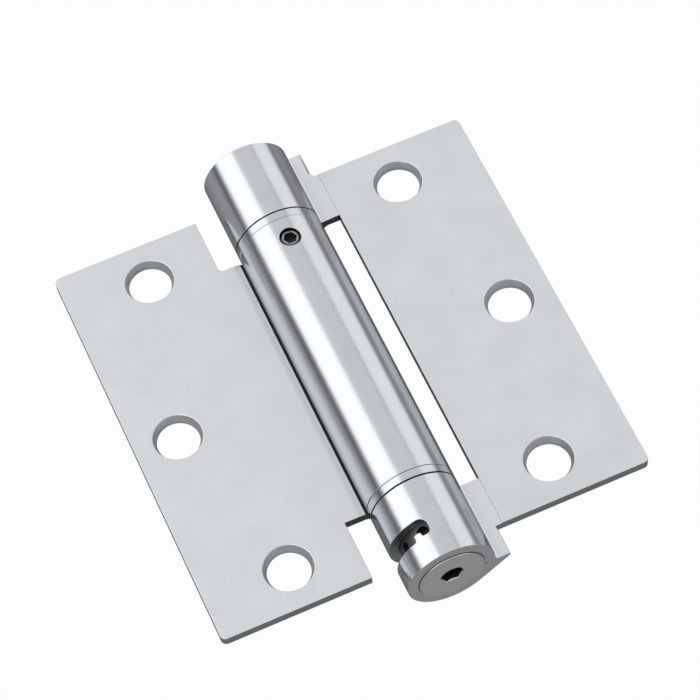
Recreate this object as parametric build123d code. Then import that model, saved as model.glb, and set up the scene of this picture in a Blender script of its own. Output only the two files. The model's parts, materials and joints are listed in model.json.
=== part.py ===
from build123d import *
import math
import os

os.makedirs("parts", exist_ok=True)

# An adjustable spring hinge, open flat. The barrel lies along Y with its middle at the origin.
# The adjuster end is -Y and the spring anchor end +Y. Both countersunk faces look up, +Z.
# The leaf of the centre knuckle reaches to -X and the leaf of the two end knuckles to +X.
# Lengths are in millimetres and angles in degrees.

# Leaves
leaf_height = 88.9
open_width = 88.9
sheet = 2.2
closed_gap = 2.2
leaf_corner_r = 1.2

# Barrel, rolled from the same sheet as the leaves. It reaches past the leaves at both ends.
barrel_r = 9.0
barrel_past_leaf = 6.35
notch_depth = 12.95
flange_thick = 1.75
end_gap = 0.3
rim_chamfer = 0.15

# Fits, how far a cut runs past a wall, and the smallest length that matters
running_clearance = 0.06
slot_clearance = 0.1
cut_margin = 0.2
tiny = 0.01

# Strip between the centre leaf and its knuckle
notch_width = 4.7
center_bend_angle = 50
center_bend_r = 1.5
swage_length = 1.7
swage_drop = 0.2
crease_width = 0.35
center_seam_gap = 0.25
notch_fillet_r = 1.0

# Strips between the end leaf and its two knuckles
tab_edge_depth = 1.05
leaf_past_tab = 1.25
end_bend_angle = 37
end_bend_r = 1.5
tab_step = 0.1
tab_fall = 0.25
tab_edge_r = 0.5
hollow_r = 0.8
end_seam_gap = 0.12
end_seam_depth = 0.7
seam_drop = 1.45

# Screw holes, three in each leaf
outer_hole_from_side = 17.25
outer_hole_from_end = 8.8
middle_hole_from_side = 8.95
hole_r = 4.3
countersink_r = 5.0
hole_land = 0.5

# Slot for the tension pin in the adjuster-end knuckle, measured from the ring of pin holes in the drum.
# Its start, the pocket and the nub are measured round the barrel's surface, from the top towards -X.
pin_from_end = 7.3
slot_to_end = 2.2
slot_to_middle = 1.75
slot_start_arc = 1.33
slot_end_angle = 250
pocket_end_arc = 3.22
pocket_to_end = 1.8
nub_end_arc = 4.8
nub_to_end = 0.8
slot_corner_r = 1.75
pocket_corner_r = 0.8
nub_corner_r = 0.45

# Adjuster drum
plug_proud = 0.35
plug_chamfer = 0.25
pin_hole_count = 8
pin_hole_r = 1.25
pin_hole_depth = 3.0
first_pin_hole_angle = 156
key_width = 4.0
key_depth = 6.0
key_mouth_r = 2.6

# Bearings, anchor, pivot and set screw
bearing_wall = 2.69
anchor_sleeve = 2.3
adjuster_sleeve = 5.5
anchor_length = 8.2
pivot_reach = 8.55
pivot_bore_spare = 0.5
pivot_tip_chamfer = 0.5
screw_r = 2.15
screw_length = 4.0
screw_recess = 0.4
screw_chamfer = 0.55
screw_lean = 4
screw_from_plug_end = 2.5
screw_key_width = 2.4
screw_key_depth = 2.0

# Torsion spring and the two noses that hold its legs
wire_r = 1.1
wire_sides = 6
coil_side_gap = 0.55
coil_gap = 0.24
runs_per_turn = 10
leg_from_anchor = 2.5
leg_from_sleeve = 3.0
leg_short_of_side = 0.3
nose_clearance = 0.45
nose_past_leg = 3.5

# Places that follow from the sizes above
bore_r = barrel_r - sheet
mid_wall_r = barrel_r - sheet / 2
face_z = -closed_gap / 2
back_z = face_z - sheet
seam_z = -seam_drop
leaf_end = leaf_height / 2
leaf_side = open_width / 2
center_leaf_edge = barrel_r + notch_width
outer_hole_x = leaf_side - outer_hole_from_side
outer_hole_y = leaf_end - outer_hole_from_end
middle_hole_x = leaf_side - middle_hole_from_side
center_end = leaf_end - notch_depth
flange_end = center_end + flange_thick
knuckle_start = flange_end + end_gap
barrel_end = leaf_end + barrel_past_leaf
plug_end = barrel_end + plug_proud
pin_y = barrel_end - pin_from_end
drum_r = bore_r - running_clearance
bearing_bore_r = bore_r - bearing_wall
neck_r = bearing_bore_r - running_clearance
anchor_start = center_end - anchor_sleeve
anchor_end = anchor_start - anchor_length
screw_y = anchor_start - screw_from_plug_end
coil_r = bore_r - coil_side_gap - wire_r
nose_r = coil_r - wire_r - nose_clearance
anchor_leg_y = anchor_end - leg_from_anchor
drum_leg_y = center_end - adjuster_sleeve - leg_from_sleeve
coil_length = anchor_leg_y + drum_leg_y
coil_turns = int(coil_length / (2 * wire_r + coil_gap))


def across(y):
    """Plane across the barrel at y. Its own x is the part's X and its own y the part's Z."""
    return Plane(origin=(0, y, 0), x_dir=(1, 0, 0), z_dir=(0, -1, 0))


def along(section, y_low, y_high):
    """A section drawn across the barrel, carried from y_low to y_high."""
    return extrude(across(y_high) * section, amount=y_high - y_low)


def rod(radius, y_low, y_high):
    """A round bar on the hinge axis."""
    return along(Circle(radius), y_low, y_high)


def rim(solid, y, radius):
    """The circular edge of a solid at y with about this radius."""
    circles = solid.edges().filter_by(GeomType.CIRCLE)
    at_y = [e for e in circles if abs(e.center().Y - y) < tiny and e.bounding_box().size.Y < tiny]
    return min(at_y, key=lambda e: abs(e.radius - radius))


def slope_x(angle, z):
    """How far out the sloping underside, which is tangent to the barrel, is at this height."""
    a = math.radians(angle)
    return (barrel_r + z * math.cos(a)) / math.sin(a)


end_tab_edge = slope_x(end_bend_angle, face_z - tab_edge_depth)
end_leaf_edge = end_tab_edge + leaf_past_tab


def on_slope(angle, radius):
    """The point at this radius where the line from the axis meets the sloping underside squarely."""
    a = math.radians(angle)
    return (radius * math.sin(a), -radius * math.cos(a))


def near(shape, x, y):
    """The vertex of a flat outline nearest to this place."""
    return min(shape.vertices(), key=lambda v: math.hypot(v.X - x, v.Y - y))


def strip_section(top, bend_angle, under):
    """Closed section of the strip beside a knuckle: its top line, the slope and what is under it."""
    start = top[0] @ 0
    inner = top[-1] @ 1
    path = [(inner.X, inner.Y), (mid_wall_r, inner.Y)]
    path += [on_slope(bend_angle, mid_wall_r), on_slope(bend_angle, barrel_r)]
    path += [*under, (start.X, start.Y)]
    return make_face(Curve() + top + [Polyline(*path)])


def center_strip():
    """Section of the centre leaf's strip, which falls towards the barrel and ends in a crease."""
    swage_start = (barrel_r + crease_width + swage_length, face_z)
    swage_end = (barrel_r + crease_width, face_z - swage_drop)
    flat = Line((center_leaf_edge, face_z), swage_start)
    dip = TangentArc(swage_start, swage_end, tangent=(-1, 0))
    crease = Line(swage_end, (barrel_r, seam_z - center_seam_gap / 2))
    corner = (slope_x(center_bend_angle, back_z), back_z)
    section = strip_section([flat, dip, crease], center_bend_angle, [corner, (center_leaf_edge, back_z)])
    return fillet(near(section, *corner), center_bend_r)


def end_strip_top(outer_x):
    """Top line of the end leaf's strip, which falls towards the barrel and runs up it in a small hollow."""
    low_z = face_z - tab_step - tab_fall
    hollow_z = low_z + hollow_r
    center = Vector(math.sqrt((barrel_r + hollow_r) ** 2 - hollow_z**2), hollow_z)
    low = (center.X, low_z)
    high = center * (barrel_r / (barrel_r + hollow_r))
    middle = center + Vector(-1, -1).normalized() * hollow_r
    fall = tab_fall / (end_leaf_edge - center.X)
    top = Line((outer_x, low_z + fall * (outer_x - center.X)), low)
    return [top, ThreePointArc(low, (middle.X, middle.Y), (high.X, high.Y))]


def end_strip():
    """Section of the end leaf's strip where the leaf is beside it, with the leaf's flat back."""
    corner = (slope_x(end_bend_angle, back_z), back_z)
    under = [corner, (end_leaf_edge, back_z)]
    section = strip_section(end_strip_top(end_leaf_edge), end_bend_angle, under)
    return fillet(near(section, *corner), end_bend_r)


def end_tail():
    """Section of the end leaf's strip past the leaf, where the slope runs out to the tab's edge."""
    under = [(end_tab_edge, face_z - tab_edge_depth)]
    section = strip_section(end_strip_top(end_tab_edge), end_bend_angle, under)
    return fillet(near(section, end_tab_edge, face_z), tab_edge_r)


def tube(y_low, y_high, chamfered_end=None):
    """A length of barrel with its outer rim broken at one end."""
    outer = rod(barrel_r, y_low, y_high)
    if chamfered_end is not None:
        outer = chamfer(rim(outer, chamfered_end, barrel_r), rim_chamfer)
    return outer


def seam_cut(gap, side, reach, y_low, y_high):
    """The thin gap where the rolled edge comes back to the strip, on the +X or -X side, as far out as reach.

    In the end knuckles it is pressed shut but for its first part, next to the bore.
    """
    width = reach - mid_wall_r / 2
    middle = side * (reach + mid_wall_r / 2) / 2
    return along(Pos(middle, seam_z) * Rectangle(width, gap), y_low, y_high)


def screw_holes(side):
    """Three countersunk holes, to be cut from the leaf on the +X or -X side."""
    spots = [(outer_hole_x, outer_hole_y), (middle_hole_x, 0), (outer_hole_x, -outer_hole_y)]
    cone_height = sheet - hole_land
    cone = Cone(hole_r, countersink_r, cone_height, align=(Align.CENTER, Align.CENTER, Align.MAX))
    shank = Cylinder(hole_r, sheet, align=(Align.CENTER, Align.CENTER, Align.MAX))
    return [Pos(side * x, y, face_z) * (cone + shank) for x, y in spots]


def leaf_plate(inner_x):
    """One flat leaf on the +X side, from inner_x to its outer edge, with its outer corners rounded."""
    width = leaf_side - inner_x
    outline = Pos(inner_x + width / 2, 0) * Rectangle(width, leaf_height)
    outer = [near(outline, leaf_side, leaf_end), near(outline, leaf_side, -leaf_end)]
    return extrude(Pos(0, 0, back_z) * fillet(outer, leaf_corner_r), amount=sheet)


def corner_web(section, x_low, x_high, y, open_x):
    """Rounds an inside corner of the blank just past y. The open side of the corner is at open_x."""
    web = Pos((x_low + x_high) / 2, y + notch_fillet_r / 2) * Rectangle(x_high - x_low, notch_fillet_r)
    web -= Pos(open_x, y + notch_fillet_r) * Circle(notch_fillet_r)
    return along(section, y, y + notch_fillet_r) & extrude(web, amount=barrel_r, both=True)


def screw_place(height):
    """Place on the set screw's axis at this height from the hinge axis. It leans from +Z towards +X."""
    return Pos(0, screw_y, 0) * Rot(0, screw_lean, 0) * Pos(0, 0, height)


def set_screw_hole():
    """Hole for the set screw, from the hinge axis up through the barrel's wall."""
    return screw_place(barrel_r) * Cylinder(screw_r, 2 * barrel_r)


def make_center_leaf():
    """Leaf and middle knuckle, one sheet rolled into a tube."""
    strip = center_strip()
    half = leaf_plate(center_leaf_edge) + along(strip, -center_end, center_end)
    open_x = center_leaf_edge - notch_fillet_r
    half += corner_web(strip, open_x, center_leaf_edge, center_end, open_x)
    body = tube(-center_end, center_end) + mirror(half, about=Plane.YZ)
    body -= rod(bore_r, -center_end, center_end)
    body -= seam_cut(center_seam_gap, -1, barrel_r, -center_end, center_end)
    for hole in screw_holes(-1):
        body -= hole
    return body - set_screw_hole()


def surface_angle(arc):
    """Angle about the axis of a place this far round the barrel's surface, from the top towards -X."""
    return 90 + math.degrees(arc / barrel_r)


def slot_sector(angle_low, angle_high, y_near, y_far):
    """A block cut through the knuckle's wall between two angles, from -y_near to -y_far."""
    reach = 2 * barrel_r
    steps = max(2, math.ceil((angle_high - angle_low) / 60) + 1)
    angles = [angle_low + (angle_high - angle_low) * i / (steps - 1) for i in range(steps)]
    rays = [(reach * math.cos(math.radians(a)), reach * math.sin(math.radians(a))) for a in angles]
    wedge = make_face(Polyline((0, 0), *rays, close=True))
    ring = Circle(barrel_r + cut_margin) - Circle(bore_r - cut_margin)
    return along(ring & wedge, -y_near, -y_far)


def round_slot(slot, corners):
    """Round the slot's corners, each given as its angle, its y and its radius."""
    for angle, y, radius in corners:
        a = math.radians(angle)
        place = Vector(barrel_r * math.cos(a), -y, barrel_r * math.sin(a))
        straight = slot.edges().filter_by(GeomType.LINE)
        radial = [e for e in straight if abs(e.tangent_at(0).Y) < 0.01 and e.length > sheet]
        slot = fillet(min(radial, key=lambda e: (e.center() - place).length), radius)
    return slot


def pin_slot():
    """Slot that the tension pin travels in, with a pocket behind a nub where the pin rests."""
    near_y = pin_y + slot_to_end
    far_y = pin_y - slot_to_middle
    pocket_y = pin_y + pocket_to_end
    nub_y = pin_y + nub_to_end
    start, pocket_end, nub_end = [surface_angle(arc) for arc in (slot_start_arc, pocket_end_arc, nub_end_arc)]
    slot = slot_sector(nub_end, slot_end_angle, near_y, far_y)
    slot += slot_sector(start, nub_end, nub_y, far_y)
    slot += slot_sector(start, pocket_end, pocket_y, nub_y)
    corners = [
        (start, far_y, slot_corner_r),
        (start, pocket_y, pocket_corner_r),
        (pocket_end, pocket_y, nub_corner_r),
        (pocket_end, nub_y, nub_corner_r),
        (nub_end, nub_y, nub_corner_r),
        (nub_end, near_y, nub_corner_r),
        (slot_end_angle, far_y, slot_corner_r),
        (slot_end_angle, near_y, slot_corner_r),
    ]
    return round_slot(slot, corners)


def make_end_leaf():
    """Leaf with a knuckle at each end, one sheet rolled into two short tubes."""
    strip = end_strip()
    tail = end_tail()
    open_x = end_tab_edge + notch_fillet_r
    body = leaf_plate(end_leaf_edge)
    body += along(strip, knuckle_start, leaf_end) + along(tail, leaf_end + notch_fillet_r, barrel_end)
    body += corner_web(strip, mid_wall_r, open_x, leaf_end, open_x)
    body += along(strip, -leaf_end, -knuckle_start) + along(tail, -barrel_end, -leaf_end)
    for low, high, outer_end in [
        (knuckle_start, barrel_end, barrel_end),
        (-barrel_end, -knuckle_start, -barrel_end),
    ]:
        body += tube(low, high, outer_end)
        body -= rod(bore_r, low, high)
        body -= seam_cut(end_seam_gap, 1, bore_r + end_seam_depth, low, high)
    for hole in screw_holes(1):
        body -= hole
    return body - pin_slot()


def bearing(sleeve, side):
    """Flanged bush pressed into one end of the centre knuckle, at the +Y or -Y end."""
    flange = rod(barrel_r, center_end, flange_end)
    flange = chamfer(rim(flange, center_end, barrel_r), rim_chamfer)
    bush = flange + rod(bore_r, center_end - sleeve, center_end)
    bush -= rod(bearing_bore_r, center_end - sleeve, flange_end)
    return bush if side > 0 else mirror(bush, about=Plane.XZ)


def leg_slot(radius, y):
    """Cross slot through a nose for the straight leg of the spring, open through the nose's sides."""
    width = 2 * (wire_r + slot_clearance)
    return Pos(0, y, 0) * Box(width, width, 3 * radius)


def make_anchor_plug():
    """Plug held in the centre knuckle by the set screw. Its nose holds one leg of the spring."""
    plug = rod(bore_r, anchor_end, anchor_start)
    plug += rod(nose_r, anchor_leg_y - nose_past_leg, anchor_end)
    plug -= rod(bearing_bore_r, flange_end - pivot_reach - pivot_bore_spare, anchor_start)
    plug -= leg_slot(nose_r, anchor_leg_y)
    return plug - set_screw_hole()


def hex_socket(width, depth):
    """Six-sided socket, opening at its plane's origin and running down its plane's z."""
    return extrude(RegularPolygon(width / 2, 6, major_radius=False), amount=-depth)


def make_set_screw():
    """Grub screw that fixes the anchor plug in the knuckle."""
    top = barrel_r - screw_recess
    screw = Cylinder(screw_r, screw_length, align=(Align.CENTER, Align.CENTER, Align.MAX))
    screw = chamfer(screw.edges().filter_by(GeomType.CIRCLE), screw_chamfer)
    return screw_place(top) * (screw - hex_socket(screw_key_width, screw_key_depth))


def make_pivot_plug():
    """Plug pressed into the anchor-end knuckle. Its stem turns in the bearing and the anchor plug."""
    plug = rod(bore_r, knuckle_start, plug_end)
    plug = chamfer(rim(plug, plug_end, bore_r), plug_chamfer)
    tip = flange_end - pivot_reach
    stem = rod(neck_r, tip, knuckle_start)
    stem = chamfer(rim(stem, tip, neck_r), pivot_tip_chamfer)
    return plug + stem


def make_adjuster_drum():
    """Drum that winds the spring: hex socket outside, ring of pin holes, neck and slotted nose inside."""
    drum = rod(drum_r, -plug_end, -knuckle_start)
    drum = chamfer(rim(drum, -plug_end, drum_r), plug_chamfer)
    neck_end = -(center_end - adjuster_sleeve) + slot_clearance
    drum += rod(neck_r, -knuckle_start, neck_end)
    drum += rod(nose_r, neck_end, -drum_leg_y + nose_past_leg)
    drum -= leg_slot(nose_r, -drum_leg_y)
    for i in range(pin_hole_count):
        turn = first_pin_hole_angle + i * 360 / pin_hole_count
        hole = Pos(drum_r - pin_hole_depth, 0, 0) * Rot(0, 90, 0) * Cylinder(
            pin_hole_r, 2 * pin_hole_depth, align=(Align.CENTER, Align.CENTER, Align.MIN)
        )
        drum -= Pos(0, -pin_y, 0) * Rot(0, -turn, 0) * hole
    mouth = key_mouth_r - key_width / 2
    drum -= across(-plug_end) * hex_socket(key_width, key_depth)
    drum -= across(-plug_end) * Cone(
        key_width / 2, key_mouth_r, mouth, align=(Align.CENTER, Align.CENTER, Align.MAX)
    )
    return drum


def make_torsion_spring():
    """Close-wound coil with an upright leg across the axis at each end, wound the way the drum turns.

    The coil is drawn as straight runs of six-sided wire, mitred into each other.
    """
    runs = coil_turns * runs_per_turn
    leg_tip = nose_r - leg_short_of_side
    points = [(0, -drum_leg_y, -leg_tip)]
    for i in range(runs + 1):
        turn = 2 * math.pi * i / runs_per_turn
        y = -drum_leg_y + coil_length * i / runs
        points.append((-coil_r * math.sin(turn), y, coil_r * math.cos(turn)))
    points.append((0, anchor_leg_y, -leg_tip))
    path = Polyline(*points)
    wire = Plane(origin=path @ 0, z_dir=path % 0) * RegularPolygon(wire_r, wire_sides)
    return sweep(wire, path=path, transition=Transition.RIGHT)


pieces = {
    "center_leaf": make_center_leaf(),
    "end_leaf": make_end_leaf(),
    "upper_bearing": bearing(anchor_sleeve, 1),
    "lower_bearing": bearing(adjuster_sleeve, -1),
    "spring_anchor_plug": make_anchor_plug(),
    "anchor_set_screw": make_set_screw(),
    "torsion_spring": make_torsion_spring(),
    "pivot_plug": make_pivot_plug(),
    "adjuster_drum": make_adjuster_drum(),
}

for name, piece in pieces.items():
    export_step(piece, f"parts/{name}.step")
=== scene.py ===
# %% [markdown]
# # An adjustable spring hinge, dressed for its photograph
#
# The solids of this hinge were drawn in a CAD program, and they arrive here as a frame: one mesh per
# piece, in metres, with the barrel lying along Y and the countersunk faces looking up. This lesson gives
# each piece its visible surface and its finish, then lights the hinge and sets the camera. The frame
# comes first, because every later step measures itself against it.

# %% Load the frame
import json
import math

import bmesh
import bpy
import numpy as np
from mathutils import Matrix, Vector

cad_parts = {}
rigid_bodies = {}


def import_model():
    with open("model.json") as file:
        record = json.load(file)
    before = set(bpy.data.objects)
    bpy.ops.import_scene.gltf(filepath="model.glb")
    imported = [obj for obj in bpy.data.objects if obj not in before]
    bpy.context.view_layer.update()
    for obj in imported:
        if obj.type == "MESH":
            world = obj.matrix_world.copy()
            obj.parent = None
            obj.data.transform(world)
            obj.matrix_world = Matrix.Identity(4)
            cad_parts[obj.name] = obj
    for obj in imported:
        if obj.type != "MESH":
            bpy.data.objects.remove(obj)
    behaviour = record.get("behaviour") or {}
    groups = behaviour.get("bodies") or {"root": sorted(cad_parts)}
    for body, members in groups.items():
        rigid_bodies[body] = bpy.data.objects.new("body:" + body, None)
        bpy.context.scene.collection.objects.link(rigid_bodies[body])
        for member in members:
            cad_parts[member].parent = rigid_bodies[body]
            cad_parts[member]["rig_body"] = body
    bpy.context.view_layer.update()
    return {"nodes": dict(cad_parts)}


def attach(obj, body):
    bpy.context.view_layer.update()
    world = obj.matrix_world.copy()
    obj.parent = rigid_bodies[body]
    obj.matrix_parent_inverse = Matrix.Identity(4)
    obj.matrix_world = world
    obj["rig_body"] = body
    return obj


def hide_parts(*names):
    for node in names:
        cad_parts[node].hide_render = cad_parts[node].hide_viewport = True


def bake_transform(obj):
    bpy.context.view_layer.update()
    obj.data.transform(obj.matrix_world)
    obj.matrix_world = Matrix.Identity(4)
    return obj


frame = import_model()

scene = bpy.context.scene
nodes = frame["nodes"]
MM = 0.001
print("pieces in the frame:", sorted(nodes))

# %% [markdown]
# ## The camera
#
# The photograph was taken with a long lens from above and a little to the left of the barrel's near end.
# A camera can be placed by eye, but here its place and the direction of its three axes were worked out
# from the corners of the leaves and the centres of the screw holes, so they are written down as numbers.

# %% Camera
SENSOR_WIDTH = 36.0
LENS = 171.66
CLIP_START = 0.01
EYE = (-0.09653, -0.32349, 0.55845)
RIGHT = (0.91437, -0.39862, -0.07091)
UP = (0.37559, 0.76974, 0.51617)
BACK = (-0.15117, -0.49860, 0.85355)

camera_data = bpy.data.cameras.new("Camera")
camera_data.sensor_width = SENSOR_WIDTH
camera_data.lens = LENS
camera_data.clip_start = CLIP_START
camera = bpy.data.objects.new("Camera", camera_data)
scene.collection.objects.link(camera)
axes = Matrix((RIGHT, UP, BACK)).transposed().to_4x4()
camera.matrix_world = Matrix.Translation(EYE) @ axes
scene.camera = camera
print("camera distance in metres:", round(math.dist(EYE, (0, 0, 0)), 3))

# %% [markdown]
# ## Colours
#
# A renderer counts light in equal steps, and a picture's colours are packed more tightly in the shadows.
# Colours are easier to choose as they look on a screen, from 0 to 255, so one small function unpacks
# them. Its constants are those of the usual screen standard.

# %% Colour helper


def screen(red, green, blue):
    """A colour as it looks on a screen, 0 to 255, as linear light: divided by 12.92 near black, and
    above that the power 2.4 of the value moved up by 0.055 and divided by 1.055."""
    value = np.array([red, green, blue]) / 255
    linear = np.where(value <= 0.04045, value / 12.92, ((value + 0.055) / 1.055) ** 2.4)
    return (*linear.tolist(), 1.0)


LEAF_GREY = screen(217, 220, 223)
print("the leaves' grey in linear light:", [round(channel, 3) for channel in LEAF_GREY])

# %% [markdown]
# ## Satin steel
#
# Plated sheet steel isn't a mirror. It has a grain too fine to see one by one, which blurs what it
# reflects, and broad faint clouds where the plating is a little rougher. Both are noise: the grain at a
# tenth of a millimetre and the clouds at a centimetre. Every metal here needs them, so they are one node
# group with its own inputs, and each material gives it other values.

# %% Node group for the grain
GRAIN_INPUTS = {"Grain size": 0.15, "Cloud size": 9.0, "Cloud share": 0.4}
NOISE_DETAIL = 2.0


def build_grain():
    """Two noises in object coordinates, a fine grain and wide clouds, each from 0 to 1 about a half.
    The mask is the grain times one less the cloud share, plus the clouds times that share. The height
    is the grain."""
    group = bpy.data.node_groups.new("Plated grain", "ShaderNodeTree")
    ask = group.interface.new_socket
    for name, value in GRAIN_INPUTS.items():
        ask(name=name, in_out="INPUT", socket_type="NodeSocketFloat").default_value = value
    ask(name="Mask", in_out="OUTPUT", socket_type="NodeSocketFloat")
    ask(name="Height", in_out="OUTPUT", socket_type="NodeSocketFloat")
    new, link = group.nodes.new, group.links.new
    source, sink = new("NodeGroupInput"), new("NodeGroupOutput")
    place = new("ShaderNodeTexCoord")
    noises = []
    for name in ("Grain size", "Cloud size"):
        per_metre = new("ShaderNodeMath")
        per_metre.operation = "DIVIDE"
        per_metre.inputs[0].default_value = 1 / MM
        link(source.outputs[name], per_metre.inputs[1])
        noise = new("ShaderNodeTexNoise")
        noise.inputs["Detail"].default_value = NOISE_DETAIL
        link(place.outputs["Object"], noise.inputs["Vector"])
        link(per_metre.outputs[0], noise.inputs["Scale"])
        noises.append(noise)
    mix = new("ShaderNodeMix")
    link(source.outputs["Cloud share"], mix.inputs["Factor"])
    link(noises[0].outputs["Fac"], mix.inputs["A"])
    link(noises[1].outputs["Fac"], mix.inputs["B"])
    link(mix.outputs["Result"], sink.inputs["Mask"])
    link(noises[0].outputs["Fac"], sink.inputs["Height"])
    return group


grain_group = build_grain()
print("grain group sockets:", [socket.name for socket in grain_group.interface.items_tree])

# %% [markdown]
# ## The metals
#
# A metal here is a metallic surface with a colour and a roughness that the grain stirs a little. A real
# metal's mirror image dims where the view skims the surface, just before the very edge, so a metal can
# have that too. A Mix node has a set of sockets for each kind of value, all with the same names, so those
# for colours are told apart by their numbers.

# %% A metal
CLOUD_TINT = 0.12
MASK_LOW = 0.3
MASK_HIGH = 0.7
BUMP_DEPTH = 0.1
MIX_FACTOR = 0
MIX_COLOURS = (6, 7)
MIX_RESULT = 2


def metal(name, colour, roughness, stir=0.06, bump=0.04, glance=1.0, **grain):
    """A metal. As the grain's mask goes from low to high, its roughness goes from stir below the given
    one to stir above it, and its colour from 1 - CLOUD_TINT times the given one to 1 + CLOUD_TINT
    times. Bump tilts its surface by the grain's height. Its mirror image dims to the share glance where
    the view only skims it."""
    material = bpy.data.materials.new(name)
    material.use_nodes = True
    new, link = material.node_tree.nodes.new, material.node_tree.links.new
    shader = material.node_tree.nodes["Principled BSDF"]
    shader.inputs["Metallic"].default_value = 1.0
    shader.inputs["Specular Tint"].default_value = (glance, glance, glance, 1)
    texture = new("ShaderNodeGroup")
    texture.node_tree = grain_group
    for socket, value in grain.items():
        texture.inputs[socket.replace("_", " ").capitalize()].default_value = value
    cloud = new("ShaderNodeMix")
    cloud.data_type = "RGBA"
    for socket, share in zip(MIX_COLOURS, (1 - CLOUD_TINT, 1 + CLOUD_TINT)):
        cloud.inputs[socket].default_value = (*[channel * share for channel in colour[:3]], 1)
    link(texture.outputs["Mask"], cloud.inputs[MIX_FACTOR])
    link(cloud.outputs[MIX_RESULT], shader.inputs["Base Color"])
    spread = new("ShaderNodeMapRange")
    spread.inputs["From Min"].default_value = MASK_LOW
    spread.inputs["From Max"].default_value = MASK_HIGH
    spread.inputs["To Min"].default_value = roughness - stir
    spread.inputs["To Max"].default_value = roughness + stir
    link(texture.outputs["Mask"], spread.inputs["Value"])
    link(spread.outputs["Result"], shader.inputs["Roughness"])
    raised = new("ShaderNodeBump")
    raised.inputs["Strength"].default_value = bump
    raised.inputs["Distance"].default_value = BUMP_DEPTH * MM
    link(texture.outputs["Height"], raised.inputs["Height"])
    link(raised.outputs["Normal"], shader.inputs["Normal"])
    return material


print("a metal's colour goes up and down by the share", CLOUD_TINT)

# %% [markdown]
# ## Drill marks
#
# A drill leaves fine rings in a countersink. They all lie level round the drill's axis, which stands
# upright here, so noise that changes only with height is enough to draw them.

# %% Drill marks


def turning_marks(material, spacing, strength):
    """Rings in a metal: noise along the height only, one grain of it to each spacing in mm, as a
    groove's height, tilting the surface by the given strength."""
    tree = material.node_tree
    new, link = tree.nodes.new, tree.links.new
    place, height = new("ShaderNodeTexCoord"), new("ShaderNodeSeparateXYZ")
    marks = new("ShaderNodeTexNoise")
    marks.noise_dimensions = "1D"
    marks.inputs["Scale"].default_value = 1 / (spacing * MM)
    grooves = new("ShaderNodeBump")
    grooves.inputs["Strength"].default_value = strength
    grooves.inputs["Distance"].default_value = BUMP_DEPTH * MM
    link(place.outputs["Object"], height.inputs[0])
    link(height.outputs["Z"], marks.inputs["W"])
    link(marks.outputs["Fac"], grooves.inputs["Height"])
    link(grooves.outputs["Normal"], tree.nodes["Principled BSDF"].inputs["Normal"])


DRILL_RING = 0.25
countersink = metal("Drilled countersink", screen(196, 200, 203), 0.3, grain_size=0.1)
turning_marks(countersink, spacing=DRILL_RING, strength=0.8)
print("drill rings", DRILL_RING, "mm apart")

# %% [markdown]
# ## The finishes
#
# The leaves and the barrel are one plated sheet steel, satin on the flat leaves and smoother on the
# barrel, which the rolling has burnished. Where the press sheared the sheet, the cut is rougher, and its
# darker colour is partly painted shade, the shade that these upright faces mirror, so it is a finish of
# its own. In the narrow windows beside the barrel the cut is painted darker still, as shade. The barrel's
# faced ends have their own finish, and the crease of the seam is painted dark as its shade. The two
# rings are turned. The plugs and the drum's end face are plain machined steel. The rest of the drum, seen
# only in the pin slot and its socket, is painted dark as shade. The set screw is blackened, with a
# lighter flat top, and the spring is dark drawn wire.

# %% Finishes
satin_sheet = metal("Satin plated sheet", LEAF_GREY, 0.36, stir=0.05, bump=0.012)
rolled_barrel = metal("Rolled barrel", screen(203, 206, 210), 0.21, stir=0.03, bump=0.012, glance=0.45)
# Partly painted shade: the sheared edges are rougher, and their darker colour also stands in for the shade
# they mirror.
sheared_edge_and_shade = metal("Sheared sheet edge and painted shade", screen(142, 151, 149), 0.42, grain_size=0.1)
# Painted shade: the cut faces in the narrow windows beside the barrel are coloured dark for the shade
# there.
painted_window_shade = metal("Cut beside the barrel, painted shade", screen(72, 78, 78), 0.45, grain_size=0.1)
end_face = metal("Faced barrel end", screen(190, 195, 193), 0.36, grain_size=0.1)
# Painted shade: the crease where the middle leaf meets the barrel is coloured dark for its shade.
painted_seam_shade = metal("Seam shadow", screen(58, 61, 62), 0.6)
ring_steel = metal("Turned ring steel", screen(196, 203, 203), 0.2, glance=0.45, grain_size=0.1)
machined_steel = metal("Machined plug steel", screen(200, 205, 203), 0.36, grain_size=0.1)
# Painted shade: all of the drum but its end face is coloured dark, for the shade in the pin slot and its
# socket.
drum_painted_shade = metal("Drum steel, painted shade", screen(104, 107, 105), 0.36, grain_size=0.1)
blackened_steel = metal("Blackened screw steel", screen(96, 97, 95), 0.4, grain_size=0.1)
# The set screw's flat top is coloured lighter than the rest of it, its socket included.
lighter_screw_top = metal("Lighter top of the screw", screen(150, 152, 148), 0.34, grain_size=0.1)
wire_steel = metal("Spring wire", screen(112, 112, 110), 0.3, grain_size=0.3)
print("materials:", [material.name for material in bpy.data.materials])

# %% [markdown]
# ## Showing a piece
#
# A finished piece rides on the moving body of the solid it stands for, unless told not to, and that
# solid is hidden. Its vertices hold its place and its object stays at the origin.

# %% Place a piece


def show(name, mesh, node, slot, *materials, rides=True):
    """Puts a mesh in the scene as the piece that stands for a solid, on the solid's body if it rides."""
    piece = bpy.data.objects.new(name, mesh)
    scene.collection.objects.link(piece)
    for material in materials:
        mesh.materials.append(material)
    if rides:
        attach(piece, nodes[node]["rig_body"])
    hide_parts(node)
    print(f"{name}: {len(mesh.vertices)} points, {len(mesh.polygons)} faces")
    return piece


# %% [markdown]
# ## Normals that tell the truth
#
# A barrel made of flat strips looks like a barrel only if its shading normals point straight out from the
# axis, and a flat leaf looks flat only if the rounded edge beside it doesn't pull its normals over. Face
# angles alone can't say both, so the normals are first weighted by face area, and those on a wall at a
# known radius are then replaced by the exact direction from the hinge axis.

# %% Weighted normals
SMOOTH_UNDER = math.radians(50)


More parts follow.
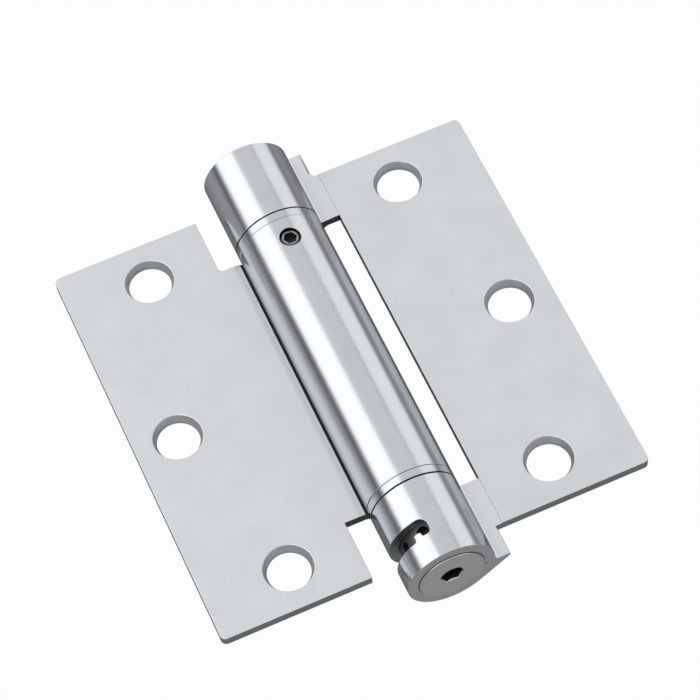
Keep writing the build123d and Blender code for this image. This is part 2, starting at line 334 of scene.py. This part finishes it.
def weigh_normals(mesh):
    """A copy of the mesh whose corner normals are the sum of the normals around them, each times its
    face's area, inside each smooth patch."""
    mesh.polygons.foreach_set("use_smooth", np.ones(len(mesh.polygons), bool))
    mesh.set_sharp_from_angle(angle=SMOOTH_UNDER)
    holder = bpy.data.objects.new("holder", mesh)
    scene.collection.objects.link(holder)
    weighted = holder.modifiers.new("weighted", "WEIGHTED_NORMAL")
    weighted.keep_sharp = True
    bpy.context.view_layer.update()
    seen = holder.evaluated_get(bpy.context.evaluated_depsgraph_get())
    result = bpy.data.meshes.new_from_object(seen)
    bpy.data.objects.remove(holder)
    bpy.data.meshes.remove(mesh)
    return result


print("edges stay sharp from", round(math.degrees(SMOOTH_UNDER)), "degrees")

# %% True normals on round walls
WALL_TOLERANCE = 0.035
ASTRAY_BELOW = 0.5
STRAIGHT_OUT = 0.9
TINY = 1e-6


def own_normals(mesh):
    """The face's own normal at each of its corners, in the order of the mesh's corners."""
    normals = np.empty(len(mesh.polygons) * 3, np.float32)
    mesh.polygons.foreach_get("normal", normals)
    sides = np.empty(len(mesh.polygons), np.int32)
    mesh.polygons.foreach_get("loop_total", sides)
    return np.repeat(normals.reshape(-1, 3), sides, axis=0)


def true_walls(mesh, radii):
    """Corner normals on a wall at one of these radii, in mm, become the direction straight out from Y,
    or in: x and z over their distance from the axis. One that leans more than 60 degrees from its own
    face, as on a sliver, becomes that face's normal first."""
    points = np.empty(len(mesh.vertices) * 3, np.float32)
    mesh.vertices.foreach_get("co", points)
    corners = np.empty(len(mesh.loops), np.int32)
    mesh.loops.foreach_get("vertex_index", corners)
    normals = np.empty(len(mesh.loops) * 3, np.float32)
    mesh.corner_normals.foreach_get("vector", normals)
    points, normals = points.reshape(-1, 3)[corners] / MM, normals.reshape(-1, 3)
    own = own_normals(mesh)
    astray = np.sum(normals * own, axis=1) < ASTRAY_BELOW
    normals[astray] = own[astray]
    reach = np.hypot(points[:, 0], points[:, 2])
    outward = points * [1, 0, 1] / np.maximum(reach, TINY)[:, None]
    facing = np.sum(normals * outward, axis=1)
    for radius in radii:
        wall = (np.abs(reach - radius) < WALL_TOLERANCE) & (np.abs(facing) > STRAIGHT_OUT)
        normals[wall] = outward[wall] * np.sign(facing[wall])[:, None]
    mesh.normals_split_custom_set(normals.tolist())
    return mesh


print("walls within", WALL_TOLERANCE, "mm of a radius get true normals")

# %% [markdown]
# ## Solids with softened edges
#
# The leaves, the drum and the set screw already have their true shape in the solids: notches,
# countersinks, the pin slot, the sockets. Modelling them again would only add errors. What a solid lacks
# is the slightly rounded edge that every pressed part has, the thing that catches a thin line of light.
# So the solid's triangles are copied and merged, flat neighbours are joined into whole faces, and the
# sharp outward edges get a tiny round.

# %% Soften a solid
WELD = 1e-6
FLAT = math.radians(0.5)
SHARP = math.radians(55)
ROOM = 2.5
ROUND_SEGMENTS = 2


def roomy(edge, edge_round):
    """True if each face of an edge is wide: its area over the edge's length is more than ROOM rounds."""
    needed = ROOM * edge_round * MM * edge.calc_length()
    return all(face.calc_area() > needed for face in edge.link_faces)


def softened(node, edge_round, radii=()):
    """A merged copy of a solid's triangles. Edges that turn outward by more than SHARP get a round of
    edge_round mm, and walls at one of the radii get true normals."""
    shape = bmesh.new()
    shape.from_mesh(nodes[node].data)
    bmesh.ops.remove_doubles(shape, verts=shape.verts, dist=WELD)
    bmesh.ops.dissolve_limit(shape, angle_limit=FLAT, verts=shape.verts, edges=shape.edges)
    outward = [e for e in shape.edges if e.is_manifold and e.is_convex and e.calc_face_angle() > SHARP]
    sharp = [e for e in outward if roomy(e, edge_round)]
    bmesh.ops.bevel(
        shape,
        geom=sharp,
        offset=edge_round * MM,
        offset_type="OFFSET",
        segments=ROUND_SEGMENTS,
        profile=0.5,
        affect="EDGES",
        clamp_overlap=False,
    )
    mesh = bpy.data.meshes.new(node + " softened")
    shape.to_mesh(mesh)
    shape.free()
    return true_walls(weigh_normals(mesh), radii)


print("edges sharper than", round(math.degrees(SHARP)), "degrees get a round")

# %% [markdown]
# ## Painting faces
#
# One piece can carry several finishes: each face has a material index, which counts along the piece's
# list of materials. To choose faces, it is enough to know where each one's centre lies and which way it
# faces.

# %% Paint faces


def paint_faces(mesh, chosen, index):
    """Gives the faces where chosen is true the material at index."""
    indices = np.empty(len(mesh.polygons), np.int32)
    mesh.polygons.foreach_get("material_index", indices)
    indices[chosen] = index
    mesh.polygons.foreach_set("material_index", indices)


def face_places(mesh):
    """Centres in mm and unit normals of all the faces, one row each."""
    centres = np.empty(len(mesh.polygons) * 3, np.float32)
    mesh.polygons.foreach_get("center", centres)
    normals = np.empty(len(mesh.polygons) * 3, np.float32)
    mesh.polygons.foreach_get("normal", normals)
    return centres.reshape(-1, 3) / MM, normals.reshape(-1, 3)


print("faces of the middle leaf's solid:", len(face_places(nodes["center_leaf"].data)[0]))

# %% [markdown]
# ## The two leaves
#
# Each leaf is one sheet: flat with three countersunk holes, then bent down and rolled round the barrel.
# The broad faces are plated and satin, and each kind of cut has its own finish. A face is put to one of
# them by its place and direction. Near the axis it is the rolled wall if it faces out from the axis, a
# barrel end if it faces along it, and a cut, as in the pin slot, if it does neither. On the flat part it
# is a cut if it stands upright, and it belongs to a screw hole or to a window beside the barrel by its
# place. The cuts are rougher and also painted darker, as the shade that they mirror, and those in the
# windows darker still, as painted shade. The faces at the seam's crease are painted dark as its shade.

# %% Leaves
BARREL_R = 9.0
BORE_R = 6.8
BARREL_END = 50.8
SEAM_DROP = 1.45
SEAM_HALF = 0.2
WINDOW_EDGE = 14.0
WINDOW_END = 34.0
SCREW_HOLES = [(27.2, 35.65), (35.5, 0.0), (27.2, -35.65)]
COUNTERSINK_R = 5.0
EDGE_ROUND = 0.12
HOLE_MARGIN = 0.05
WALL_MARGIN = 0.1
END_MARGIN = 0.2


def in_holes(centres, side):
    """True for faces in one of the three screw holes: nearer to its axis than the countersink's edge."""
    spots = np.array([(side * x, y) for x, y in SCREW_HOLES])
    apart = centres[:, None, :2] - spots[None]
    return np.hypot(apart[..., 0], apart[..., 1]).min(axis=1) < COUNTERSINK_R + HOLE_MARGIN


print("screw hole axes at x, y in mm:", SCREW_HOLES)

# %% A leaf with its finishes
NOT_ALONG = 0.3
ROUND_ABOUT = 0.7
UPRIGHT = 0.45
LEVEL = 0.6


def leaf(name, node, side, crease):
    """A rolled leaf with its finishes. The barrel's wall is what lies within its radius and doesn't
    face along it. Its cuts are the faces there that don't look away from the axis, where x and z of the
    normal times x and z of the place, over the distance from the axis, are small. The sheared faces are
    the other upright ones, rougher and painted darker as the shade they mirror, those in the windows
    darker still as painted shade, and the seam's faces look up or down at the seam's height, as far out
    from it as the crease, and are painted dark as its shade."""
    mesh = softened(node, EDGE_ROUND, (BARREL_R, BORE_R))
    centres, normals = face_places(mesh)
    reach = np.hypot(centres[:, 0], centres[:, 2])
    on_barrel = reach < BARREL_R + WALL_MARGIN
    rolled = on_barrel & (np.abs(normals[:, 1]) < NOT_ALONG)
    ends = on_barrel & (np.abs(centres[:, 1]) > BARREL_END - END_MARGIN) & ~rolled
    facing = np.abs(normals[:, 0] * centres[:, 0] + normals[:, 2] * centres[:, 2]) / reach
    cuts = on_barrel & (facing < ROUND_ABOUT) & ~ends
    rolled &= ~cuts
    steep = (np.abs(normals[:, 2]) < UPRIGHT) & ~rolled & ~ends
    holes = steep & in_holes(centres, side)
    window = steep & (np.abs(centres[:, 0]) < WINDOW_EDGE) & (np.abs(centres[:, 1]) < WINDOW_END)
    level = np.abs(normals[:, 2]) > LEVEL
    seam = (reach < BARREL_R + crease) & (np.abs(centres[:, 2] + SEAM_DROP) < SEAM_HALF) & level
    piece = show(name, mesh, node, "leaf_steel", satin_sheet)
    # The window cuts and the seam's crease are painted shade, and the sheared edges partly so.
    painted = [
        (rolled, rolled_barrel),
        (steep | cuts, sheared_edge_and_shade),
        (holes, countersink),
        (window, painted_window_shade),
        (ends, end_face),
        (seam, painted_seam_shade),
    ]
    for chosen, finish in painted:
        mesh.materials.append(finish)
        paint_faces(mesh, chosen, len(mesh.materials) - 1)
    return piece


center_leaf = leaf("center_leaf", "center_leaf", side=-1, crease=0.35)
end_leaf = leaf("end_leaf", "end_leaf", side=1, crease=0.0)

# %% [markdown]
# ## Turned pieces
#
# A lathe makes a piece by turning a profile about its axis, and so does this function. It takes the
# profile as points of radius and height, puts a small round on every corner, and computes all the
# surface's points at once as an array: the radius times the cosine and sine of each turn, and the height
# as it is.

# %% Turn a profile
TURN_STEPS = 128
ROUND_STEPS = 4
LONGEST_ROUND = 0.45


def rounded_profile(corners, radius):
    """A closed profile with its corners rounded. Each corner becomes a curve with three control points,
    the corner and the two points radius away from it: with t from 0 to 1, the square of 1 - t times the
    first, plus 2 t (1 - t) times the corner, plus the square of t times the last."""
    corners = np.array(corners, float)
    before_it, after_it = np.roll(corners, 1, axis=0), np.roll(corners, -1, axis=0)
    t = np.linspace(0, 1, ROUND_STEPS + 1)[None, :, None]

    def towards(other):
        way = other - corners
        length = np.linalg.norm(way, axis=1, keepdims=True)
        return corners + way / length * np.minimum(radius, LONGEST_ROUND * length)

    start, end = towards(before_it)[:, None], towards(after_it)[:, None]
    corner = corners[:, None]
    curve = (1 - t) ** 2 * start + 2 * t * (1 - t) * corner + t**2 * end
    return curve.reshape(-1, 2)


def grid_mesh(name, points, closed_rows=True, closed_columns=True):
    """A mesh from a grid of points in mm. The points at a row and column, at the next row, at the next
    column and at both make a quad, and either way the last can be followed by the first again."""
    rows, columns = points.shape[:2]
    row = np.arange(rows if closed_rows else rows - 1)[:, None]
    column = np.arange(columns if closed_columns else columns - 1)[None, :]
    below, beside = (row + 1) % rows, (column + 1) % columns
    here, there = row * columns, below * columns
    corners = [here + column, here + beside, there + beside, there + column]
    quads = [np.broadcast_to(corner, (row.size, column.size)) for corner in corners]
    faces = np.stack(quads, axis=-1).reshape(-1, 4)
    mesh = bpy.data.meshes.new(name)
    mesh.from_pydata((points.reshape(-1, 3) * MM).tolist(), [], faces.tolist())
    return mesh


def finish_surface(mesh):
    """Merges doubled points, closes the ends, turns all faces outward and gives the mesh back."""
    shape = bmesh.new()
    shape.from_mesh(mesh)
    bmesh.ops.remove_doubles(shape, verts=shape.verts, dist=WELD)
    bmesh.ops.dissolve_degenerate(shape, edges=shape.edges, dist=WELD)
    bmesh.ops.holes_fill(shape, edges=[e for e in shape.edges if e.is_boundary])
    bmesh.ops.recalc_face_normals(shape, faces=shape.faces)
    shape.to_mesh(mesh)
    shape.free()
    return mesh


def turned(name, corners, edge_round, radii):
    """A closed profile of (radius, y) corners turned about the hinge axis: x is the radius times the
    cosine of the turn and z the radius times its sine."""
    profile = rounded_profile(corners, edge_round)
    turn = np.linspace(0, 2 * np.pi, TURN_STEPS, endpoint=False)[:, None]
    radius, y = profile[None, :, 0], profile[None, :, 1]
    x, z = radius * np.cos(turn), radius * np.sin(turn)
    points = np.stack([x, np.broadcast_to(y, x.shape), z], axis=-1)
    mesh = finish_surface(grid_mesh(name, points))
    return true_walls(weigh_normals(mesh), radii)


print("a turned wall has", TURN_STEPS, "faces round it")

# %% [markdown]
# ## The bearing rings
#
# A flanged bush sits in each end of the middle knuckle. Its flange is as wide as the barrel and shows as
# a bright ring with a fine dark line on either side: a chamfer where it meets the middle knuckle, and the
# running gap towards the end knuckle. The sleeve inside can't be seen, but the bush is one piece.

# %% Bearings
BUSH_BORE_R = 4.11
KNUCKLE_END = 31.5
FLANGE_END = 33.25
RING_CHAMFER = 0.15
RING_ROUND = 0.08


def bush(name, node, side, sleeve):
    """A flanged bush at the +Y or -Y end, its sleeve reaching back into the middle knuckle."""
    inner, middle, outer = KNUCKLE_END - sleeve, KNUCKLE_END, FLANGE_END
    corners = [
        (BUSH_BORE_R, inner),
        (BORE_R, inner),
        (BORE_R, middle),
        (BARREL_R - RING_CHAMFER, middle),
        (BARREL_R, middle + RING_CHAMFER),
        (BARREL_R, outer),
        (BUSH_BORE_R, outer),
    ]
    profile = [(radius, side * y) for radius, y in corners]
    mesh = turned(name, profile, RING_ROUND, (BARREL_R, BORE_R, BUSH_BORE_R))
    return show(name, mesh, node, "bearing_steel", ring_steel)


upper_bearing = bush("upper_bearing", "upper_bearing", side=1, sleeve=2.3)
lower_bearing = bush("lower_bearing", "lower_bearing", side=-1, sleeve=5.5)

# %% [markdown]
# ## The pivot plug
#
# The far knuckle is closed by a plug with a stem that turns in the bearing. It is a plain turned piece,
# so its profile says all of it.

# %% Pivot plug
NECK_R = 4.05
KNUCKLE_START = 33.55
PLUG_END = 51.15
STEM_END = 24.7
PLUG_CHAMFER = 0.25
STEM_CHAMFER = 0.5
PLUG_ROUND = 0.05

pivot_profile = [
    (0, STEM_END),
    (NECK_R - STEM_CHAMFER, STEM_END),
    (NECK_R, STEM_END + STEM_CHAMFER),
    (NECK_R, KNUCKLE_START),
    (BORE_R, KNUCKLE_START),
    (BORE_R, PLUG_END - PLUG_CHAMFER),
    (BORE_R - PLUG_CHAMFER, PLUG_END),
    (0, PLUG_END),
]
pivot_mesh = turned("pivot_plug", pivot_profile, PLUG_ROUND, (NECK_R, BORE_R))
pivot_plug = show("pivot_plug", pivot_mesh, "pivot_plug", "plug_steel", machined_steel)

# %% [markdown]
# ## The drum, the anchor and the set screw
#
# These three have sockets, cross slots and pin holes, which a lathe alone doesn't make, so they are
# softened solids like the leaves. The drum's end face shows beside the knuckle's. The rest of the drum,
# the floor of its hexagon socket too, is coloured dark as painted shade.

# %% Drum, anchor plug and set screw
DRUM_R = 6.74
NOSE_R = 3.6
SMALL_ROUND = 0.05
SCREW_RIM_START = 8.4
FACE_START = -50.6
DRUM_FACE_TILT = 0.3
SCREW_RIM_TILT = 0.9

drum_mesh = softened("adjuster_drum", SMALL_ROUND, (DRUM_R, NECK_R, NOSE_R))
adjuster_drum = show("adjuster_drum", drum_mesh, "adjuster_drum", "plug_steel", drum_painted_shade, machined_steel)
drum_centres, drum_normals = face_places(drum_mesh)
# Only the end face gets the machined colour; the rest of the drum keeps the dark colour, painted shade.
drum_face = (drum_centres[:, 1] < FACE_START) & (drum_normals[:, 1] < -DRUM_FACE_TILT)
paint_faces(drum_mesh, drum_face, 1)
anchor_mesh = softened("spring_anchor_plug", SMALL_ROUND, (BORE_R, BUSH_BORE_R, NOSE_R))
anchor_plug = show("spring_anchor_plug", anchor_mesh, "spring_anchor_plug", "plug_steel", machined_steel)
screw_mesh = softened("anchor_set_screw", SMALL_ROUND)
screw_finishes = (blackened_steel, lighter_screw_top)
set_screw = show("anchor_set_screw", screw_mesh, "anchor_set_screw", "screw_steel", *screw_finishes)
screw_centres, screw_normals = face_places(screw_mesh)
# The screw is dark all over and only its socket shows that; its flat top is coloured lighter.
screw_rim = (screw_centres[:, 2] > SCREW_RIM_START) & (screw_normals[:, 2] > SCREW_RIM_TILT)
paint_faces(screw_mesh, screw_rim, 1)

# %% [markdown]
# ## The torsion spring
#
# The spring is a close coil of round wire whose ends cross the axis and sit in the slots of the two
# noses. A curve with a thickness could make it. Here the wire is a grid: one way along the path, the
# other round the wire. At each point of the path two directions square to it are needed. The first is
# carried along from the point before with its part along the path taken out, the other is square to both.
# One leg sits in the anchor and the other in the drum, so when the drum winds, the coil between them is
# twisted about the axis.

# %% Path of the spring
COIL_R = 5.15
COIL_TURNS = 17
DRUM_LEG_Y = -23.0
ANCHOR_LEG_Y = 18.5
LEG_REACH = 3.3
LEG_STEPS = 12
STEPS_PER_TURN = 40
BEND_R = 1.6
BEND_TURN = 0.35
BEND_PASSES = 6


def leg(y):
    """Points down a straight leg across the axis, from under the coil to the far side of the nose."""
    z = np.linspace(COIL_R - BEND_R, -LEG_REACH, LEG_STEPS)
    return np.stack([np.zeros_like(z), np.full_like(z, y), z], axis=1)


def spring_path():
    """A leg, a left-hand helix (x and z go round a circle while y grows evenly), and the other leg. The
    bends between them come from moving each point a few times to the mean of itself and of its
    neighbours' mean."""
    whole = 2 * np.pi * COIL_TURNS
    turn = np.linspace(BEND_TURN, whole - BEND_TURN, COIL_TURNS * STEPS_PER_TURN)
    y = DRUM_LEG_Y + (ANCHOR_LEG_Y - DRUM_LEG_Y) * turn / whole
    coil = np.stack([-COIL_R * np.sin(turn), y, COIL_R * np.cos(turn)], axis=1)
    rough = np.concatenate([leg(DRUM_LEG_Y)[::-1], coil, leg(ANCHOR_LEG_Y)])
    for _ in range(BEND_PASSES):
        rough[1:-1] = (rough[:-2] + 2 * rough[1:-1] + rough[2:]) / 4
    return rough


path = spring_path()
print("points along the spring:", len(path))

# %% Spring wire
WIRE_R = 1.1
WIRE_SIDES = 14


def carried_normals(along):
    """Directions square to the path, carried along it: each is the one before less its part along the
    path, which is the path's direction times the product of the two, brought back to length one."""
    side = np.empty_like(along)
    side[0] = (1, 0, 0)
    for i in range(1, len(along)):
        turned_side = side[i - 1] - along[i] * np.dot(side[i - 1], along[i])
        side[i] = turned_side / np.linalg.norm(turned_side)
    return side


along = np.gradient(path, axis=0)
along /= np.linalg.norm(along, axis=1, keepdims=True)
side = carried_normals(along)
across = np.cross(along, side)
turn = np.linspace(0, 2 * np.pi, WIRE_SIDES, endpoint=False)[None, :, None]
wire = path[:, None] + WIRE_R * (np.cos(turn) * side[:, None] + np.sin(turn) * across[:, None])
coil_mesh = grid_mesh("torsion_spring", wire, closed_rows=False)
coil_mesh = weigh_normals(finish_surface(coil_mesh))
torsion_spring = show(
    "torsion_spring", coil_mesh, "torsion_spring", "spring_steel", wire_steel, rides=False
)
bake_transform(torsion_spring)

# %% [markdown]
# ## Light
#
# A hinge is photographed in a white tent. A flat leaf shows one patch of the tent, and the barrel shows
# all of it, squeezed into stripes, so what stands in the tent is chosen by the angle round the barrel's
# axis: a wide lamp on the left, a narrow one on the right, a faint one overhead that the flat leaves
# mirror, and low down on each side a dark card that gives the metal its contrast. The tent itself is the
# world, even and half as bright as white. Lamps and cards are long strips parallel to the barrel, each
# facing it, and neither is seen by the camera.

# %% Tent
TENT_WHITE = 0.5

scene.view_settings.view_transform = "Standard"
world = bpy.data.worlds.new("White tent")
world.use_nodes = True
world.node_tree.nodes["Background"].inputs["Color"].default_value = (TENT_WHITE, TENT_WHITE, TENT_WHITE, 1)
scene.world = world
print("tent brightness:", TENT_WHITE)

# %% Place of a strip
STRIP_REACH = 700.0
STRIP_HALF_LENGTH = 1300.0
STRIP_MIDDLE_Y = 500.0


def strip_place(low, high):
    """Where a strip that fills the angles from low to high stands and how it is turned, as a matrix,
    and half its width in mm: its distance from the axis times the tangent of half the angle that it
    fills."""
    middle = math.radians((low + high) / 2)
    half_width = STRIP_REACH * math.tan(math.radians((high - low) / 2))
    outward = Vector((math.cos(middle), 0, math.sin(middle)))
    centre = outward * STRIP_REACH + Vector((0, STRIP_MIDDLE_Y, 0))
    turn = Matrix((outward.cross(Vector((0, 1, 0))), (0, 1, 0), outward)).transposed().to_4x4()
    return Matrix.Translation(centre * MM) @ turn, half_width


print("strips stand", STRIP_REACH, "mm from the hinge axis")

# %% Lamps and cards
MATT = 0.9


def strip_lamp(name, low, high, brightness):
    """An area lamp that adds this brightness to the tent: its power is that times pi times its area."""
    place, half_width = strip_place(low, high)
    light = bpy.data.lights.new(name, "AREA")
    light.shape = "RECTANGLE"
    light.size = 2 * half_width * MM
    light.size_y = 2 * STRIP_HALF_LENGTH * MM
    light.energy = brightness * math.pi * light.size * light.size_y
    lamp = bpy.data.objects.new(name, light)
    lamp.matrix_world = place
    lamp.visible_camera = False
    scene.collection.objects.link(lamp)
    return lamp


def dark_card(name, low, high, shade):
    """A card of this shade, as a square stretched to the strip's half width and half length."""
    place, half_width = strip_place(low, high)
    corner = np.array([[-1, -1, 0], [1, -1, 0], [1, 1, 0], [-1, 1, 0]], float)
    mesh = bpy.data.meshes.new(name)
    mesh.from_pydata((corner * [half_width, STRIP_HALF_LENGTH, 0] * MM).tolist(), [], [(0, 1, 2, 3)])
    paper = bpy.data.materials.new(name)
    paper.use_nodes = True
    matte = paper.node_tree.nodes["Principled BSDF"]
    matte.inputs["Base Color"].default_value = (shade, shade, shade, 1)
    matte.inputs["Roughness"].default_value = MATT
    mesh.materials.append(paper)
    card = bpy.data.objects.new(name, mesh)
    card.matrix_world = place
    card.visible_camera = False
    scene.collection.objects.link(card)
    return card


wide_lamp = strip_lamp("wide_lamp", low=107, high=159, brightness=1.15)
overhead_lamp = strip_lamp("overhead_lamp", low=56, high=107, brightness=0.37)
narrow_lamp = strip_lamp("narrow_lamp", low=11, high=52, brightness=0.68)
left_card = dark_card("left_card", low=164, high=178, shade=0.15)
right_card = dark_card("right_card", low=0, high=6, shade=0.15)
lamps = (wide_lamp, overhead_lamp, narrow_lamp)
print("lamps in watts:", [round(lamp.data.energy, 1) for lamp in lamps])

# %% [markdown]
# ## Floor
#
# The background of the photograph is white with hardly a shadow, and yet the underside of the barrel
# mirrors something much darker than white. So the floor is white to the camera and only a little to the
# metal, and what is left of it is a plain matt grey that still takes the hinge's shadow. It lies so deep
# that a leaf can swing right round without dipping into it.

# %% Floor
FLOOR_Z = -46.0
FLOOR_HALF = 1500.0
FLOOR_GREY = 0.34
WHITE_SHARES = {"Is Camera Ray": 0.97, "Is Glossy Ray": 0.1, "Is Transmission Ray": 0.1}


def build_floor():
    """A square far wider than the picture. Its white is mixed in by the sum of the shares of the kinds
    of ray that it is hit by."""
    corner = np.array([[-1, -1], [1, -1], [1, 1], [-1, 1]]) * FLOOR_HALF
    points = np.column_stack([corner, np.full(4, FLOOR_Z)]) * MM
    mesh = bpy.data.meshes.new("Floor")
    mesh.from_pydata(points.tolist(), [], [(0, 1, 2, 3)])
    floor = bpy.data.objects.new("Floor", mesh)
    scene.collection.objects.link(floor)
    paper = bpy.data.materials.new("White paper")
    paper.use_nodes = True
    new, link = paper.node_tree.nodes.new, paper.node_tree.links.new
    matte = paper.node_tree.nodes["Principled BSDF"]
    matte.inputs["Base Color"].default_value = (FLOOR_GREY, FLOOR_GREY, FLOOR_GREY, 1)
    matte.inputs["Roughness"].default_value = MATT
    matte.inputs["Specular IOR Level"].default_value = 0.0
    white = new("ShaderNodeEmission")
    white.inputs["Strength"].default_value = 1.0
    rays = new("ShaderNodeLightPath")
    total = None
    for ray, white_share in WHITE_SHARES.items():
        part = new("ShaderNodeMath")
        part.operation = "MULTIPLY_ADD"
        part.use_clamp = True
        part.inputs[1].default_value = white_share
        part.inputs[2].default_value = 0.0
        link(rays.outputs[ray], part.inputs[0])
        if total is not None:
            link(total, part.inputs[2])
        total = part.outputs[0]
    mix = new("ShaderNodeMixShader")
    link(total, mix.inputs["Fac"])
    link(matte.outputs["BSDF"], mix.inputs[1])
    link(white.outputs["Emission"], mix.inputs[2])
    link(mix.outputs["Shader"], paper.node_tree.nodes["Material Output"].inputs["Surface"])
    mesh.materials.append(paper)
    return floor


floor = build_floor()
print("floor at", FLOOR_Z, "mm")
